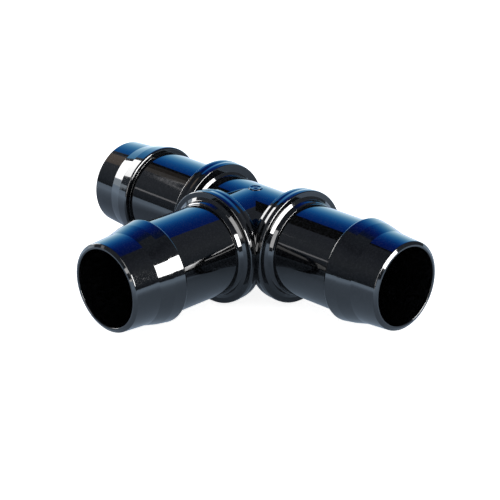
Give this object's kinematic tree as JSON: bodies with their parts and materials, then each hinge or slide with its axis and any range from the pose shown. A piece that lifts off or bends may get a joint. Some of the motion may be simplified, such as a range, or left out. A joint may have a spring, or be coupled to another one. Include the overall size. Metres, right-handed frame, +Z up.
{
  "type": "barbed tee connector",
  "caption": "Hollow tee fitting that joins hoses of one size: a collared hub with a long plain stem, a wide barb ring and a tapered nose on each arm.",
  "frame": {"origin": "on the surface that the fitting rests on, under the middle of its bounding box", "axes": "+X along the straight run, towards the right arm; -Y along the branch, towards its mouth; +Z up, square to the plane of the three arms"},
  "size_m": [0.108, 0.0696, 0.031],
  "materials": {
    "black_plastic": "smooth glossy black injection-moulded polypropylene"
  },
  "bodies": {
    "root": {"tee_body": "black_plastic", "hose_tail_right": "black_plastic", "hose_tail_left": "black_plastic", "hose_tail_branch": "black_plastic"}
  },
  "joints": []
}
